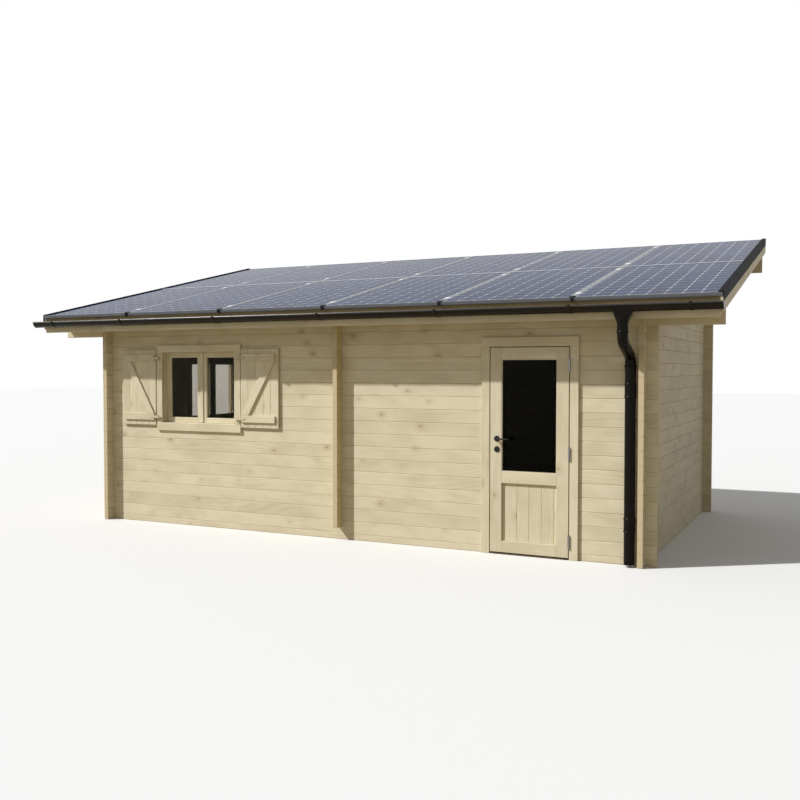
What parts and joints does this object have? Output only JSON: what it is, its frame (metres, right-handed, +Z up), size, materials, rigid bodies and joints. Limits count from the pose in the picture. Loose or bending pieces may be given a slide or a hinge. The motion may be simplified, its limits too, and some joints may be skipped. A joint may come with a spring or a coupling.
{
  "type": "garden shed",
  "caption": "Log-built garden shed with interlocked corners, glazed door, shuttered window, single-slope roof of photovoltaic panels, gutter and downpipe.",
  "frame": {"origin": "middle of the front wall's underside, at mid thickness of its logs, on the ground", "axes": "+X along the front wall to the right seen from the front, +Y from the front wall to the rear wall, +Z up"},
  "size_m": [7.083, 3.904, 3.0959],
  "materials": {
    "log_pine": "bare sawn and planed pine, matt",
    "joinery_pine": "planed pine, matt",
    "roof_pine": "planed pine, matt",
    "threshold_wood": "dark hardwood, matt",
    "clear_glass": "clear",
    "black_metal": "black, satin",
    "hinge_steel": "zinc plated",
    "cell_glass": "dark blue cells under glass, gloss",
    "panel_aluminium": "anodised",
    "flashing_sheet": "dark grey, satin",
    "gutter_brown": "dark brown, satin"
  },
  "bodies": {
    "shed": {"front_wall_lower": "log_pine", "front_wall_left": "log_pine", "front_wall_middle": "log_pine", "front_wall_right": "log_pine", "front_wall_top": "log_pine", "front_purlin": "log_pine", "rear_wall": "log_pine", "rear_purlin": "log_pine", "right_wall": "log_pine", "left_wall_lower": "log_pine", "left_wall_front": "log_pine", "left_wall_rear": "log_pine", "left_wall_top": "log_pine", "front_stub_logs": "log_pine", "rear_stub_logs": "log_pine", "door_jamb_left": "joinery_pine", "door_jamb_right": "joinery_pine", "door_head": "joinery_pine", "door_threshold": "threshold_wood", "door_hinge_posts": "hinge_steel", "front_window_frame": "joinery_pine", "front_window_sashes": "joinery_pine", "front_window_glass": "clear_glass", "left_window_frame": "joinery_pine", "left_window_sashes": "joinery_pine", "left_window_glass": "clear_glass", "shutter_pintles": "hinge_steel", "rafters": "roof_pine", "left_barge_board": "joinery_pine", "right_barge_board": "joinery_pine", "front_fascia": "joinery_pine", "rear_fascia": "joinery_pine", "roof_boards": "roof_pine", "battens": "roof_pine", "panel_frames": "panel_aluminium", "panel_glass": "cell_glass", "panel_clamps": "panel_aluminium", "left_verge_flashing": "flashing_sheet", "right_verge_flashing": "flashing_sheet", "gutter": "gutter_brown", "gutter_end_caps": "gutter_brown", "gutter_brackets": "gutter_brown", "gutter_outlet": "gutter_brown", "swan_neck": "gutter_brown", "downpipe": "gutter_brown", "pipe_clips": "gutter_brown"},
    "door": {"door_leaf": "joinery_pine", "door_glass": "clear_glass", "door_roses": "black_metal", "door_hinge_leaves": "hinge_steel"},
    "lever": {"door_lever": "black_metal"},
    "shutter_left": {"left_shutter": "joinery_pine", "left_shutter_straps": "hinge_steel"},
    "shutter_right": {"right_shutter": "joinery_pine", "right_shutter_straps": "hinge_steel"}
  },
  "joints": [
    {"name": "door_hinge", "type": "hinge", "parent": "shed", "child": "door", "pos_m": [2.245, -0.0528, 0.9], "axis": [0, 0, 1], "range_deg": [0, 120]},
    {"name": "door_lever", "type": "hinge", "parent": "door", "child": "lever", "pos_m": [1.597, -0.0245, 1.018], "axis": [0, 1, 0], "range_deg": [0, 40], "stiffness_Nm_per_rad": 1, "springref_deg": -20.05},
    {"name": "left_shutter_hinge", "type": "hinge", "parent": "shed", "child": "shutter_left", "pos_m": [-2.1725, -0.0615, 1.43], "axis": [0, 0, 1], "range_deg": [0, 180]},
    {"name": "right_shutter_hinge", "type": "hinge", "parent": "shed", "child": "shutter_right", "pos_m": [-1.1735, -0.0615, 1.43], "axis": [0, 0, -1], "range_deg": [0, 180]}
  ]
}
